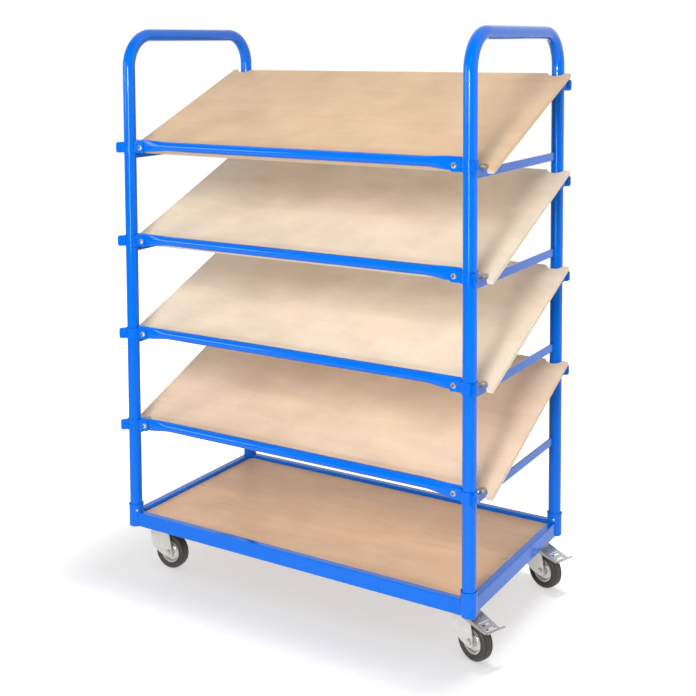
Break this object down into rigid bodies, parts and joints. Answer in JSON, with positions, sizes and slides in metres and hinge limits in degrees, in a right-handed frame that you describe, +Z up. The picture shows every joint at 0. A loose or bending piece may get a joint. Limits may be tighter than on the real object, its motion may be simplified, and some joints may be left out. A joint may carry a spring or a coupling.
{
  "type": "sloped shelf cart",
  "caption": "Wheeled cart with two tubular end frames, tilted plywood boards clamped between them behind round lip rails, a flat base board and swivel castors.",
  "frame": {"origin": "on the floor, under the middle of the whole cart with its castors and pedals as they stand, which is 16 mm to the right of the middle between the four uprights", "axes": "+X along the cart to the right seen from its front, +Y from the low front edge of the boards to the rear, +Z up"},
  "size_m": [1.1718, 0.6238, 1.5624],
  "materials": {
    "blue_paint": "glossy bright blue powder coat",
    "plywood": "pale lacquered birch plywood",
    "zinc": "dull zinc plating",
    "tyre_rubber": "matte black-brown rubber"
  },
  "bodies": {
    "cart": {"left_end_frame": "blue_paint", "right_end_frame": "blue_paint", "base_frame": "blue_paint", "base_board": "plywood", "shelf_board_1": "plywood", "left_crossbar_1": "blue_paint", "right_crossbar_1": "blue_paint", "front_rail_1": "blue_paint", "rear_rail_1": "blue_paint", "front_left_clamp_1": "blue_paint", "front_right_clamp_1": "blue_paint", "rear_left_clamp_1": "blue_paint", "rear_right_clamp_1": "blue_paint", "shelf_board_2": "plywood", "left_crossbar_2": "blue_paint", "right_crossbar_2": "blue_paint", "front_rail_2": "blue_paint", "rear_rail_2": "blue_paint", "front_left_clamp_2": "blue_paint", "front_right_clamp_2": "blue_paint", "rear_left_clamp_2": "blue_paint", "rear_right_clamp_2": "blue_paint", "shelf_board_3": "plywood", "left_crossbar_3": "blue_paint", "right_crossbar_3": "blue_paint", "front_rail_3": "blue_paint", "rear_rail_3": "blue_paint", "front_left_clamp_3": "blue_paint", "front_right_clamp_3": "blue_paint", "rear_left_clamp_3": "blue_paint", "rear_right_clamp_3": "blue_paint", "shelf_board_4": "plywood", "left_crossbar_4": "blue_paint", "right_crossbar_4": "blue_paint", "front_rail_4": "blue_paint", "rear_rail_4": "blue_paint", "front_left_clamp_4": "blue_paint", "front_right_clamp_4": "blue_paint", "rear_left_clamp_4": "blue_paint", "rear_right_clamp_4": "blue_paint", "front_left_castor_plate": "zinc", "front_right_castor_plate": "zinc", "rear_left_castor_plate": "zinc", "rear_right_castor_plate": "zinc"},
    "front_left_castor": {"front_left_castor_fork": "zinc"},
    "front_left_wheel": {"front_left_wheel_rim": "zinc", "front_left_wheel_tyre": "tyre_rubber"},
    "front_right_castor": {"front_right_castor_fork": "zinc"},
    "front_right_wheel": {"front_right_wheel_rim": "zinc", "front_right_wheel_tyre": "tyre_rubber"},
    "front_right_pedal": {"front_right_brake_pedal": "zinc"},
    "rear_left_castor": {"rear_left_castor_fork": "zinc"},
    "rear_left_wheel": {"rear_left_wheel_rim": "zinc", "rear_left_wheel_tyre": "tyre_rubber"},
    "rear_right_castor": {"rear_right_castor_fork": "zinc"},
    "rear_right_wheel": {"rear_right_wheel_rim": "zinc", "rear_right_wheel_tyre": "tyre_rubber"},
    "rear_right_pedal": {"rear_right_brake_pedal": "zinc"}
  },
  "joints": [
    {"name": "front_left_swivel", "type": "hinge", "parent": "cart", "child": "front_left_castor", "pos_m": [-0.50392, -0.22, 0.115], "axis": [0, 0, 1], "continuous": true},
    {"name": "front_left_wheel_spin", "type": "hinge", "parent": "front_left_castor", "child": "front_left_wheel", "pos_m": [-0.46394, -0.21895, 0.05], "axis": [-0.0262, 0.9997, 0], "continuous": true},
    {"name": "front_right_swivel", "type": "hinge", "parent": "cart", "child": "front_right_castor", "pos_m": [0.47208, -0.22, 0.115], "axis": [0, 0, 1], "continuous": true},
    {"name": "front_right_wheel_spin", "type": "hinge", "parent": "front_right_castor", "child": "front_right_wheel", "pos_m": [0.50942, -0.23433, 0.05], "axis": [0.3584, 0.9336, 0], "continuous": true},
    {"name": "front_right_pedal_press", "type": "hinge", "parent": "front_right_castor", "child": "front_right_pedal", "pos_m": [0.50382, -0.23219, 0.1045], "axis": [0.3584, 0.9336, 0], "range_deg": [0, 6]},
    {"name": "rear_left_swivel", "type": "hinge", "parent": "cart", "child": "rear_left_castor", "pos_m": [-0.50392, 0.236, 0.115], "axis": [0, 0, 1], "continuous": true},
    {"name": "rear_left_wheel_spin", "type": "hinge", "parent": "rear_left_castor", "child": "rear_left_wheel", "pos_m": [-0.4648, 0.22768, 0.05], "axis": [0.2079, 0.9781, 0], "continuous": true},
    {"name": "rear_right_swivel", "type": "hinge", "parent": "cart", "child": "rear_right_castor", "pos_m": [0.47208, 0.236, 0.115], "axis": [0, 0, 1], "continuous": true},
    {"name": "rear_right_wheel_spin", "type": "hinge", "parent": "rear_right_castor", "child": "rear_right_wheel", "pos_m": [0.5099, 0.22298, 0.05], "axis": [0.3256, 0.9455, 0], "continuous": true},
    {"name": "rear_right_pedal_press", "type": "hinge", "parent": "rear_right_castor", "child": "rear_right_pedal", "pos_m": [0.50422, 0.22493, 0.1045], "axis": [0.3256, 0.9455, 0], "range_deg": [0, 6]}
  ]
}
